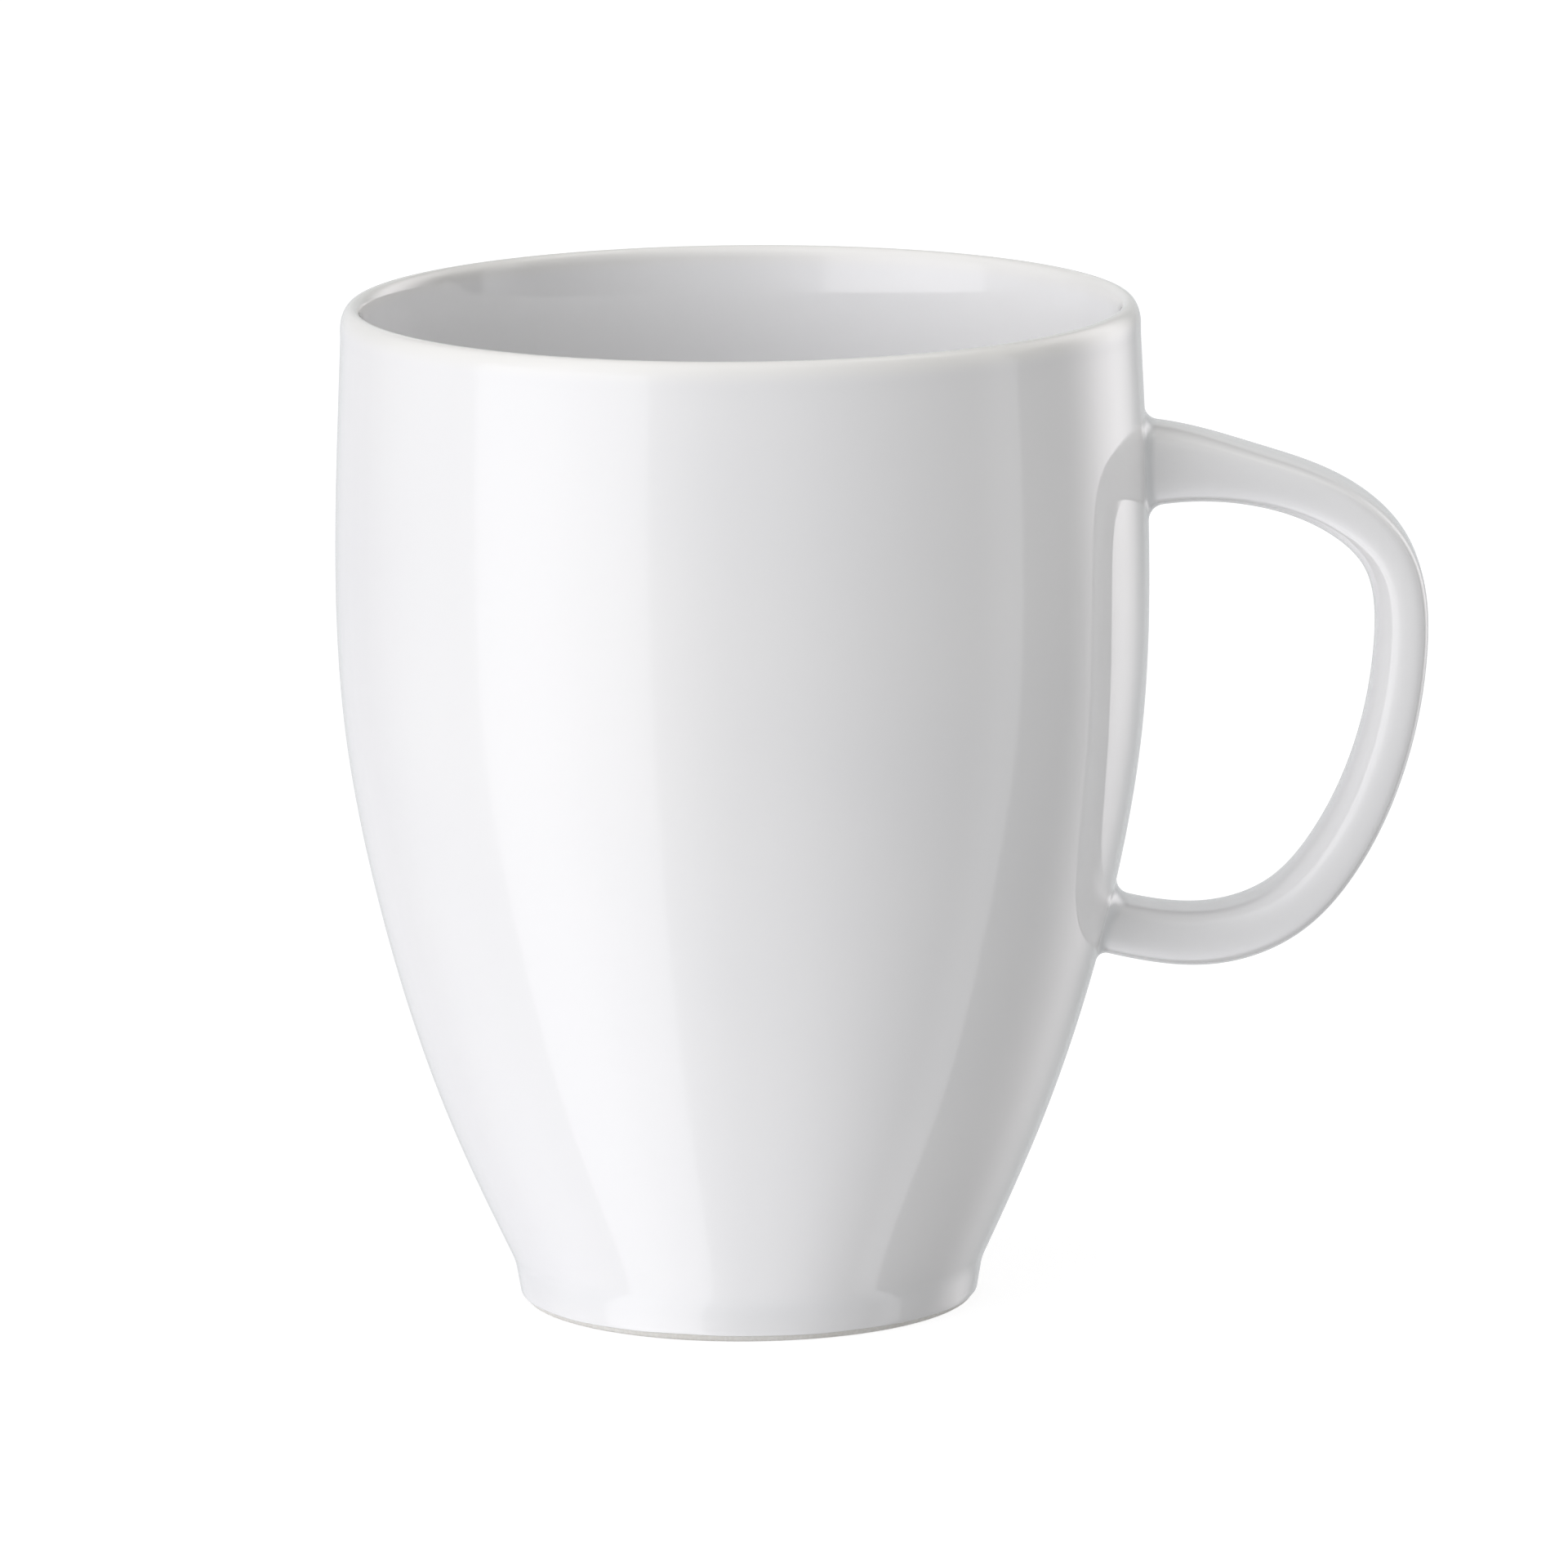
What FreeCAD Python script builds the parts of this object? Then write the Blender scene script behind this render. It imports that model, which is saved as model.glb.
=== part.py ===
import FreeCAD, Part
import math
import os

# A glazed porcelain mug: a round-bodied cup on a foot ring, with a strap handle.
# Millimetres, +Z up. The origin is the centre of the foot where it meets the table, Z is the
# axis of the round body, and the handle stands in the XZ plane on the +X side.

V = FreeCAD.Vector

# ---- Driving dimensions ---------------------------------------------------------------------

HEIGHT = 104.4              # table to the top of the lip
GLAZE = 0.3                 # thickness of the fired glaze
GLAZE_LINE = 0.8            # the glaze is wiped off the foot below this height

# Foot ring: a tapered band under the wall, with a narrow flat that stands on the table.
FOOT_TOP_RADIUS = 24.25
FOOT_BOTTOM_RADIUS = 23.65
FOOT_BREAK_HEIGHT = 3.5     # where the band would meet the wall without the neck's curve
FOOT_EDGE_RADIUS = 0.6
FOOT_INNER_RADIUS = 20.2
FOOT_INNER_EDGE_RADIUS = 0.6
NECK_RADIUS = 6.5
RECESS_DEPTH = 2.4          # glazed ceiling of the recess inside the foot ring
RECESS_GLAZE_LINE = 1.0
RECESS_CORNER_RADIUS = 1.0

# Glazed outside of the wall as (radius, height), from the neck to the lip.
WALL = [(25.48, 6.5), (30.68, 18.4), (38.08, 42.4), (41.26, 60.4), (42.02, 76.4), (41.24, 100.9)]
WALL_START_SLOPE = 0.461    # outward lean, as radius over height
WALL_END_SLOPE = -0.044

# Lip and inside
LIP_OUTER = (41.0, 103.4)   # a point on the lip's outer curve
LIP_CREST_RADIUS = 40.0
LIP_INNER = (39.36, 104.0)
LIP_INNER_END = (39.05, 103.0)
LIP_INNER_SLOPE = 0.12      # the mouth narrows downwards, as radius over height
WALL_THICKNESS = [3.9, 3.6, 3.3, 3.1, 2.5]      # at the last five points of WALL, top last
FLOOR_HEIGHT = 6.4
FLOOR_FLAT_RADIUS = 13.0
FLOOR_CORNER_RADIUS = 12.0
FLOOR_CORNER_SWEEP = 65.6   # degrees of arc from the flat floor to the wall

# Handle: centre line (x, z) and glazed thickness across it, from the upper to the lower root.
# The first and last points lie inside the wall.
HANDLE = [
    (38.5, 87.15, 9.5), (52.45, 86.0, 6.0), (61.45, 82.55, 5.5), (66.4, 77.8, 5.4),
    (67.9, 67.4, 5.45), (65.55, 55.9, 5.55), (60.85, 46.15, 5.75), (55.75, 40.6, 5.9),
    (49.15, 38.0, 6.05), (34.65, 39.9, 6.1),
]
# Directions of travel at its two buried ends, in the same order.
HANDLE_START = (1.0, 0.14, -0.16)
HANDLE_END = (-1.0, 0.26, 0.08)
HANDLE_DEPTH = 10.6         # across the handle, along Y
HANDLE_SECTIONS = 28
SQUARENESS = 2.4            # 2 is an ellipse; higher is a squarer strap
UPPER_FILLET = 1.7          # glazed radius where the handle runs into the wall
LOWER_FILLET = 1.6
SLIP = 0.5                  # thickness of the slip between handle and wall


# ---- Outlines in the XZ plane ---------------------------------------------------------------

def at(radius, height):
    return V(radius, 0, height)


def line(start, end):
    return Part.LineSegment(start, end).toShape()


def curve(points, start_direction, end_direction):
    """A smooth curve through the points, with given directions at its ends."""
    spline = Part.BSplineCurve()
    spline.interpolate(Points=points, InitialTangent=start_direction, FinalTangent=end_direction)
    return spline.toShape()


def sideways(direction):
    """The unit vector to the right of a direction, in the XZ plane."""
    return V(direction.z, 0, -direction.x).normalize()


def round_corner(before, corner, after, radius):
    """The arc of a rounded corner, with its two ends."""
    inward = (before - corner).normalize()
    outward = (after - corner).normalize()
    half_turn = (math.pi - inward.getAngle(outward)) / 2
    reach = radius * math.tan(half_turn)
    start = corner + inward * reach
    end = corner + outward * reach
    middle_direction = (inward + outward).normalize()
    middle = corner + middle_direction * (radius / math.cos(half_turn) - radius)
    return start, Part.Arc(start, middle, end).toShape(), end


def parallel(edges, distance, samples=10):
    """The edges moved sideways by a distance: to the right of travel if it is positive."""
    moved = []
    for edge in edges:
        first, last = edge.ParameterRange
        points = []
        directions = []
        for i in range(samples + 1):
            t = first + (last - first) * i / samples
            directions.append(edge.tangentAt(t))
            points.append(edge.valueAt(t) + sideways(directions[-1]) * distance)
        moved.append(curve(points, directions[0], directions[-1]))
    return moved


def ends(edges):
    """Start and end points of a chain of edges, in the order of travel."""
    return edges[0].valueAt(edges[0].FirstParameter), edges[-1].valueAt(edges[-1].LastParameter)


def revolve(edges):
    """The solid made by turning a closed outline about Z."""
    wire = Part.Wire(Part.__sortEdges__(edges))
    return Part.Face(wire).revolve(V(0, 0, 0), V(0, 0, 1), 360)


# ---- Glazed surfaces of the round body ------------------------------------------------------

def foot_band_radius(height):
    share = height / FOOT_BREAK_HEIGHT
    return FOOT_BOTTOM_RADIUS + (FOOT_TOP_RADIUS - FOOT_BOTTOM_RADIUS) * share


def outside_edges():
    """Glazed outside from the glaze line up to the lip's crest."""
    wall_points = [at(*p) for p in WALL]
    wall_start = V(WALL_START_SLOPE, 0, 1).normalize()
    wall_end = V(WALL_END_SLOPE, 0, 1).normalize()
    bottom = at(foot_band_radius(GLAZE_LINE), GLAZE_LINE)
    band = V(FOOT_TOP_RADIUS - FOOT_BOTTOM_RADIUS, 0, FOOT_BREAK_HEIGHT)
    corner = meeting_point(bottom, band, wall_points[0], wall_start)
    neck_start, neck, neck_end = round_corner(bottom, corner, wall_points[0], NECK_RADIUS)
    return [
        line(bottom, neck_start),
        neck,
        line(neck_end, wall_points[0]),
        curve(wall_points, wall_start, wall_end),
        curve([wall_points[-1], at(*LIP_OUTER), at(LIP_CREST_RADIUS, HEIGHT)], wall_end, V(-1, 0, 0)),
    ]


def meeting_point(a, a_direction, b, b_direction):
    """Where two lines in the XZ plane cross."""
    gap = b - a
    cross = a_direction.x * b_direction.z - a_direction.z * b_direction.x
    return a + a_direction * ((gap.x * b_direction.z - gap.z * b_direction.x) / cross)


def inside_edges(outside):
    """Glazed inside from the lip's crest down the wall and over the floor to the axis."""
    wall = outside[3]
    points = []
    for (radius, height), thickness in zip(WALL[1:], WALL_THICKNESS):
        t = wall.Curve.parameter(at(radius, height))
        points.append(at(radius, height) - sideways(wall.tangentAt(t)) * thickness)
    points.reverse()
    lip_end = at(*LIP_INNER_END)
    down = V(-LIP_INNER_SLOPE, 0, -1).normalize()
    sweep = math.radians(FLOOR_CORNER_SWEEP)
    corner_centre = at(FLOOR_FLAT_RADIUS, FLOOR_HEIGHT + FLOOR_CORNER_RADIUS)
    arc_points = []
    for angle in (sweep, sweep / 2, 0):
        swing = V(math.sin(angle), 0, -math.cos(angle))
        arc_points.append(corner_centre + swing * FLOOR_CORNER_RADIUS)
    down_into_corner = V(-math.cos(sweep), 0, -math.sin(sweep))
    return [
        curve([at(LIP_CREST_RADIUS, HEIGHT), at(*LIP_INNER), lip_end], V(-1, 0, 0), down),
        curve([lip_end] + points + [arc_points[0]], down, down_into_corner),
        Part.Arc(*arc_points).toShape(),
        line(arc_points[-1], at(0, FLOOR_HEIGHT)),
    ]


def recess_edges():
    """Glazed underside from the axis out over the recess and down to the glaze line."""
    corner = at(FOOT_INNER_RADIUS - GLAZE, RECESS_DEPTH)
    bottom = at(FOOT_INNER_RADIUS - GLAZE, RECESS_GLAZE_LINE)
    start, arc, end = round_corner(at(0, RECESS_DEPTH), corner, bottom, RECESS_CORNER_RADIUS)
    return [line(at(0, RECESS_DEPTH), start), arc, line(end, bottom)]


def between(surface, buried):
    """The ring-shaped coat between a glazed surface and the clay surface under it."""
    surface_start, surface_end = ends(surface)
    buried_start, buried_end = ends(buried)
    return revolve(surface + buried + [line(surface_start, buried_start), line(surface_end, buried_end)])


def filled(edges, bottom, top):
    """The solid inside an outside surface, closed to the axis at two heights."""
    start, end = ends(edges)
    outline = list(edges)
    corners = [end, at(end.x, top), at(0, top), at(0, bottom), at(start.x, bottom), start]
    for a, b in zip(corners, corners[1:]):
        if a.distanceToPoint(b) > 1e-6:
            outline.append(line(a, b))
    turned = revolve(outline)
    turned.rotate(V(0, 0, 0), V(0, 0, 1), 180)
    return turned


# ---- Handle ---------------------------------------------------------------------------------

def handle_strap(inset):
    """The strap from inside the wall to inside the wall, with its surface moved in by inset."""
    # The centre line's Y coordinate carries the strap's thickness.
    points = [V(x, thickness, z) for x, z, thickness in HANDLE]
    start, end = (V(x, thickness, z).normalize() for x, z, thickness in (HANDLE_START, HANDLE_END))
    centre_line = Part.BSplineCurve()
    centre_line.interpolate(Points=points, InitialTangent=start, FinalTangent=end, Scale=False)
    sections = []
    for i in range(HANDLE_SECTIONS):
        t = centre_line.LastParameter * i / (HANDLE_SECTIONS - 1)
        point = centre_line.value(t)
        across = sideways(centre_line.tangent(t)[0])
        sections.append(strap_section(at(point.x, point.z), across, point.y / 2 - inset, inset))
    return Part.makeLoft(sections, True)


def strap_section(centre, across, half_thickness, inset, points=16):
    """A rounded-strap section, as a closed smooth wire."""
    half_depth = HANDLE_DEPTH / 2 - inset
    power = 2 / SQUARENESS
    outline = []
    for k in range(points):
        turn = 2 * math.pi * k / points
        depth = half_depth * math.copysign(abs(math.cos(turn)) ** power, math.cos(turn))
        rise = half_thickness * math.copysign(abs(math.sin(turn)) ** power, math.sin(turn))
        outline.append(centre + V(0, 1, 0) * depth + across * rise)
    spline = Part.BSplineCurve()
    spline.interpolate(Points=outline, PeriodicFlag=True)
    return Part.Wire(spline.toShape())


def joined(body, strap, buried):
    """Body and strap as one mass, with a fillet round each root of the strap.

    buried is how far both surfaces lie under the glaze, which widens the fillets by as much.
    """
    mass = body.fuse(strap)
    for radius, height in ((UPPER_FILLET, HANDLE[0][1]), (LOWER_FILLET, HANDLE[-1][1])):
        root = [edge for edge in mass.Edges if is_root_edge(edge, height)]
        mass = mass.makeFillet(radius + buried, root)
    return mass


def is_root_edge(edge, height):
    """True for an edge where the strap meets the wall, near the height of that root."""
    middle = edge.CenterOfMass
    extent = edge.BoundBox
    beside_wall = middle.x > WALL[0][0] and abs(middle.z - height) < HANDLE_DEPTH
    return beside_wall and max(extent.YLength, extent.ZLength) < 1.5 * HANDLE_DEPTH


# ---- Parts ----------------------------------------------------------------------------------

def porcelain_body(outside, inside, recess):
    """The cast cup: wall, floor and bare foot ring, without its glaze."""
    outer_start, outer_end = ends(outside)
    recess_start, recess_end = ends(recess)
    inside_start, inside_end = ends(inside)
    outer_corner = at(foot_band_radius(0) - GLAZE, 0)
    outer_arc_start, outer_arc, outer_arc_end = round_corner(
        outer_start, outer_corner, at(FOOT_INNER_RADIUS, 0), FOOT_EDGE_RADIUS)
    inner_arc_start, inner_arc, inner_arc_end = round_corner(
        recess_end, at(FOOT_INNER_RADIUS, 0), outer_corner, FOOT_INNER_EDGE_RADIUS)
    foot = [
        line(recess_end, inner_arc_start),
        inner_arc,
        line(inner_arc_end, outer_arc_end),
        outer_arc,
        line(outer_arc_start, outer_start),
    ]
    outline = recess + foot + outside + inside + [line(inside_end, recess_start)]
    turned = revolve(outline)
    turned.rotate(V(0, 0, 0), V(0, 0, 1), 180)
    return turned


def main():
    outside = outside_edges()
    inside = inside_edges(outside)
    recess = recess_edges()
    clay_outside = parallel(outside, -GLAZE)
    clay_inside = parallel(inside, -GLAZE)
    clay_recess = parallel(recess, -GLAZE)
    slip_outside = parallel(outside, SLIP - GLAZE)

    glazed_round = filled(outside, GLAZE_LINE, HEIGHT - 4 * GLAZE)
    clay_round = filled(clay_outside, GLAZE_LINE - GLAZE, HEIGHT - GLAZE)
    slip_round = filled(slip_outside, GLAZE_LINE - GLAZE, HEIGHT + SLIP - GLAZE)
    glazed_mass = joined(glazed_round, handle_strap(0), 0)
    clay_mass = joined(clay_round, handle_strap(GLAZE), GLAZE)

    slip = clay_mass.cut(clay_round).common(slip_round)
    joints = sorted(slip.Solids, key=lambda solid: solid.CenterOfMass.z)
    parts = {
        "porcelain_body": porcelain_body(clay_outside, clay_inside, clay_recess),
        "porcelain_handle": clay_mass.cut(slip_round).Solids[0],
        "lower_slip_joint": joints[0],
        "upper_slip_joint": joints[-1],
        "outer_glaze": glazed_mass.cut(clay_mass).Solids[0],
        "liner_glaze": between(inside, clay_inside),
        "underside_glaze": between(recess, clay_recess),
    }
    os.makedirs("parts", exist_ok=True)
    for node, shape in parts.items():
        print("%s: %s, volume %.1f mm3, valid %s" % (node, shape.ShapeType, shape.Volume, shape.isValid()))
        shape.exportStep("parts/%s.step" % node)


main()
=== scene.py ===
import math

import bpy
import numpy as np
from mathutils import Matrix, Vector


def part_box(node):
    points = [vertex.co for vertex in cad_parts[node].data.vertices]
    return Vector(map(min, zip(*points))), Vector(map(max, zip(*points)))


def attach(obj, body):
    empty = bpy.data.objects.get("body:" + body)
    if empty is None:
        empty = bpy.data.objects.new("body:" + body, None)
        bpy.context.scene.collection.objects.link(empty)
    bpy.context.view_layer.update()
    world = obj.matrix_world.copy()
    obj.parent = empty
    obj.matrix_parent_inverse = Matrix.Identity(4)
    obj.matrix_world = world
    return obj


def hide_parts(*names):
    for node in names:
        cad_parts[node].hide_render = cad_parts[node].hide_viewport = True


# A glazed porcelain mug on a pale studio floor. Metres, in the part's own frame: +Z up, the
# origin at the centre of the foot ring, and the handle on the +X side.

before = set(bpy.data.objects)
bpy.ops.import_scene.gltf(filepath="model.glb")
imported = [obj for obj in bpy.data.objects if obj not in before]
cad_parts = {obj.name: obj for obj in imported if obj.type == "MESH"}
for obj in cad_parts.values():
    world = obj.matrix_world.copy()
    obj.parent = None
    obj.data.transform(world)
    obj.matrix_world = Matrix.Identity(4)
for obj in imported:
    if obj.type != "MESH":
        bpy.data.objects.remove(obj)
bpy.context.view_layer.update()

MM = 0.001
LIP_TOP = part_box("outer_glaze")[1].z / MM

# ---- Shape of the mug, in millimetres ---------------------------------------------------------

GLAZE = 0.3                 # thickness of the coat
GLAZE_LINE = 0.8            # height at which it ends on the outside of the foot
FOOT_TOP_RADIUS = 24.25
FOOT_BOTTOM_RADIUS = 23.65
FOOT_BREAK_HEIGHT = 3.5
FOOT_EDGE_RADIUS = 0.6
FOOT_INNER_RADIUS = 20.2
FOOT_INNER_EDGE_RADIUS = 0.6
NECK_RADIUS = 6.5
RECESS_DEPTH = 2.4
RECESS_CORNER_RADIUS = 1.0
RECESS_GLAZE_LINE = 1.0

# The outside of the wall, as (radius, height) points, and its thickness at all but the first.
WALL = [(25.48, 6.5), (30.68, 18.4), (38.08, 42.4), (41.26, 60.4), (42.02, 76.4), (41.24, 100.9)]
WALL_START_SLOPE = 0.461
WALL_END_SLOPE = -0.044
WALL_THICKNESS = [3.9, 3.6, 3.3, 3.1, 2.5]
LIP_OUTER = (41.0, 103.4)
LIP_CREST_RADIUS = 40.0
LIP_INNER = (39.36, 104.0)
LIP_INNER_END = (39.05, 103.0)
LIP_INNER_SLOPE = 0.12
FLOOR_HEIGHT = 6.4
FLOOR_FLAT_RADIUS = 13.0
FLOOR_CORNER_RADIUS = 12.0
FLOOR_CORNER_SWEEP = math.radians(65.6)

# Handle: centre line (x, z) and thickness across it, from the upper root to the lower one.
HANDLE = [
    (38.5, 87.15, 9.5), (52.45, 86.0, 6.0), (61.45, 82.55, 5.5), (66.4, 77.8, 5.4),
    (67.9, 67.4, 5.45), (65.55, 55.9, 5.55), (60.85, 46.15, 5.75), (55.75, 40.6, 5.9),
    (49.15, 38.0, 6.05), (34.65, 39.9, 6.1),
]
HANDLE_START = (1.0, 0.14, -0.16)
HANDLE_END = (-1.0, 0.26, 0.08)
HANDLE_DEPTH = 10.6
HANDLE_SQUARENESS = 0.065   # how far the section's corners stand out: 0 is an ellipse
# How far the section's widest place lies to the outside of its middle, at shares of the length.
HANDLE_LEAN_PLACES = np.array([0.0, 0.38, 0.6, 0.85, 1.0])
HANDLE_LEAN = np.array([-0.16, 0.24, 0.24, 0.0, 0.0])
# How far each root's fillet reaches along the handle and the wall: on the outer side, in front
# and behind, and in the finger gap.
UPPER_FILLET = (1.4, 1.1, 1.7)
LOWER_FILLET = (1.0, 1.1, 2.25)
FILLET_FULLNESS = 0.6       # how far its curve keeps to the two surfaces before it bends
UPPER_ROOT_HEIGHT = 87.2
LOWER_ROOT_HEIGHT = 38.7

# Mesh grid of the round body. A window of the grid round each root of the handle gives way to
# rings of faces that run from the window's edge to the fillet.
TURNS = 256
WALL_ROW = 1.0              # length of a row of faces up the wall
WINDOW_HALF_TURNS = 11
WINDOW_HALF_ROWS = 11
WINDOW_RINGS = 7
FILLET_RINGS = 12
HANDLE_RINGS = 190
CAP_RADIUS = 1.5            # where the rings stop round the axis on the two flat floors
# Points along the shorter stretches of the outlines.
POINTS = {
    "foot band": 6, "neck": 9, "above neck": 4, "lip outside": 22, "lip inside": 18,
    "floor corner": 16, "floor": 12, "recess top": 16, "recess corner": 14, "recess side": 4,
    "ring inner edge": 8, "ring": 5, "ring outer edge": 10, "glaze edge": 6,
}
FINE_POINTS = 2001          # points of a curve on which places are looked up
HALVINGS = 40               # steps of the search for where the handle comes out of the wall
ALONG = 1e-4                # steps, as shares of the handle's length, that give the direction of
ALONG_SIDE = 1e-3           # its middle and of its side

UNEVENNESS = 0.03           # casting and firing leave the mug about this far from true,
UNEVEN_FROM = 10.0          # in full from this far above the neck
# Its waves along X and along Y: strength, an axis and the length of a radian along it, another
# axis and its length, and the phase.
SWAY_X = [(1.0, "x", 9.1, "z", 17.3, 0.4), (0.6, "z", 8.3, "y", -11.7, 2.1)]
SWAY_Y = [(1.0, "y", 10.3, "z", -14.9, 1.3), (0.6, "z", 6.7, "x", 13.1, 0.2)]

WIPE_RISE = 0.1             # rise and fall of the glaze's edge at the foot
# Its waves round the foot: strength, how many go round, and phase.
WIPE_WAVES = [(0.5, 3, 0.7), (0.3, 7, 2.0), (0.2, 16, 0.0)]

NECK_POOL_SHADE = 0.3             # how much pooled glaze and painted shade gather at the neck, as a share of a full pool,
NECK_POOL_SHADE_REACH = 1.5       # and how far above and below it

# Colours are linear, with alpha. Scales of the noise are in cells per metre, depths in metres.
GLAZE_WHITES = (0.880, 0.880, 0.888, 1), (0.898, 0.896, 0.900, 1)
GLAZE_OVER_LIP = (0.900, 0.892, 0.872, 1)
# Cooler, darker glaze: partly the tint of pooled glaze, partly painted shade in the fillets and
# round the neck
GLAZE_POOLED_SHADE = (0.815, 0.830, 0.842, 1)
LIP_TINT = (2.5, 0.5)       # how far below the lip's top the tint starts and is full
GLAZE_IOR = 1.55
GLAZE_ROUGHNESS = (0.035, 0.065)
CLOUD_SCALE, POOL_SCALE, MATT_SCALE, WAVE_SCALE, PEEL_SCALE = 28.0, 160.0, 45.0, 70.0, 520.0
WAVE_DEPTH, PEEL_DEPTH = 0.00002, 0.0000012

BISCUIT_COLOURS = (0.84, 0.83, 0.80, 1), (0.74, 0.72, 0.68, 1)
BISCUIT_ROUGHNESS = 0.72
SLIP_COLOURS = (0.86, 0.86, 0.84, 1), (0.78, 0.77, 0.74, 1)
SLIP_ROUGHNESS = 0.6
ROUGHNESS_SPREAD = 0.08
GRAIN_SCALE, CLAY_CLOUD_SCALE, GRINDING_SCALE = 2600.0, 90.0, 900.0
GRAIN_SHARE = 0.45
GRAIN_DEPTH, GRINDING_DEPTH = 0.00003, 0.00002

# ---- Light, floor and camera, in metres -------------------------------------------------------

# Soft lights all round, far away. Each runs from one azimuth to another (0 in front, positive
# towards the handle) and from one elevation to another, with a fade across each of those four
# edges, all in degrees. Its strength and colour come last.
SOFT_LIGHTS = {
    "key, left of the camera": ((-72, -20), (42, 42), (-62, 52), (60, 60), (1.46, 1.43, 1.45)),
    "window of the key": ((-81, -26), (2.5, 2.5), (-70, 20), (20, 8), (0.80, 0.80, 0.82)),
    "wide fill round the key": ((-118, 30), (52, 52), (-92, 72), (38, 38), (0.57, 0.58, 0.59)),
    "strip on the right": ((74, 86), (16, 2.5), (-70, 30), (20, 20), (0.80, 0.80, 0.82)),
    "rim light behind the handle": ((115, 145), (26, 26), (-20, 36), (46, 46), (2.50, 2.43, 2.47)),
    "side fill on the left": ((-160, -64), (46, 46), (-59, 7), (50, 50), (0.66, 0.65, 0.69)),
    "back wall": ((145, 211), (52, 52), (-53, 31), (8, 8), (0.64, 0.66, 0.67)),
    "floor glow on the left": ((-149, 61), (73, 73), (-122, -36), (62, 62), (1.92, 1.92, 2.04)),
    "overhead": ((-240, 240), (20, 20), (54, 104), (28, 28), (0.78, 0.77, 0.75)),
    "high side light": ((82, 118), (26, 26), (25, 79), (14, 14), (0.80, 0.80, 0.74)),
}
WHITE = (1, 1, 1, 1)

FLOOR_SIZE = 12.0
# The floor that the camera sees doesn't light the mug, and the one just under it does.
SEEN_FLOOR = {"height": 0, "albedo": 0.25, "glow": 0.86}
BOUNCE_FLOOR = {"height": -0.0002, "albedo": 0.55, "glow": 0.2}

CAMERA_PLACE = Vector((0, -1.37799, 0.31299))
PAN = math.radians(0.1697)
TILT = math.radians(10.6493)
ROLL = math.radians(-0.4999)
LENS = 310.82               # focal length and sensor width in millimetres
SENSOR_WIDTH = 36


# ---- Curves -----------------------------------------------------------------------------------

def unit(v):
    return np.asarray(v, float) / np.linalg.norm(v)


def distances(a, b):
    """Distances between rows of points, as a column."""
    return np.linalg.norm(a - b, axis=1)[:, None]


def spline(points, start=None, end=None):
    """A function from 0..1 to a smooth curve through the points, with optional end directions."""
    points = np.asarray(points, float)
    knots = np.r_[0, np.cumsum(np.linalg.norm(np.diff(points, axis=0), axis=1))]
    gaps = np.diff(knots)
    n = len(points)
    system = np.zeros((n, n))
    right = np.zeros_like(points)
    for i in range(1, n - 1):
        system[i, i - 1:i + 2] = gaps[i], 2 * (gaps[i] + gaps[i - 1]), gaps[i - 1]
        before = (points[i] - points[i - 1]) / gaps[i - 1]
        after = (points[i + 1] - points[i]) / gaps[i]
        right[i] = 3 * (gaps[i] * before + gaps[i - 1] * after)
    for row, other, direction in ((0, 1, start), (n - 1, n - 2, end)):
        system[row, row] = 1 if direction is not None else 2
        if direction is not None:
            right[row] = unit(direction)
        else:
            system[row, other] = 1
            span = knots[other] - knots[row]
            right[row] = 3 * (points[other] - points[row]) / span
    slopes = np.linalg.solve(system, right)

    def at(share):
        s = np.atleast_1d(share) * knots[-1]
        i = np.clip(np.searchsorted(knots, s, side="right") - 1, 0, n - 2)
        h = gaps[i][:, None]
        t = ((s - knots[i]) / gaps[i])[:, None]
        a = points[i] * (2 * t ** 3 - 3 * t ** 2 + 1) + points[i + 1] * (3 * t ** 2 - 2 * t ** 3)
        b = slopes[i] * (t ** 3 - 2 * t ** 2 + t) + slopes[i + 1] * (t ** 3 - t ** 2)
        return a + b * h

    at.length = knots[-1]
    return at


def straight(a, b, count):
    return np.linspace(a, b, count)


def round_corner(before, corner, after, radius, count):
    """Points along the arc of a rounded corner."""
    before, corner, after = (np.asarray(p, float) for p in (before, corner, after))
    inward = unit(before - corner)
    outward = unit(after - corner)
    half_turn = (math.pi - math.acos(inward @ outward)) / 2
    centre = corner + unit(inward + outward) * radius / math.cos(half_turn)
    side = unit(outward - inward)
    to_corner = -unit(inward + outward)
    sweep = np.linspace(-half_turn, half_turn, count)
    return centre + radius * (np.outer(np.sin(sweep), side) + np.outer(np.cos(sweep), to_corner))


def chain(*stretches):
    """Stretches of points end to end, without the doubled points where they meet."""
    points = [stretches[0]]
    for stretch in stretches[1:]:
        gap = np.linalg.norm(np.asarray(stretch[0]) - points[-1][-1])
        points.append(stretch[1:] if gap < 1e-6 else stretch)
    return np.vstack(points)


def sideways(path):
    """Unit vectors to the left of travel along a path of (radius, height) points."""
    along = np.gradient(path, axis=0)
    along /= np.linalg.norm(along, axis=1)[:, None]
    return np.c_[-along[:, 1], along[:, 0]]


# ---- Outlines of the round body, as (radius, height) points -----------------------------------

def foot_band_radius(height):
    return FOOT_BOTTOM_RADIUS + (FOOT_TOP_RADIUS - FOOT_BOTTOM_RADIUS) * height / FOOT_BREAK_HEIGHT


def wall_curve():
    return spline(WALL, (WALL_START_SLOPE, 1), (WALL_END_SLOPE, 1))


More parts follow.
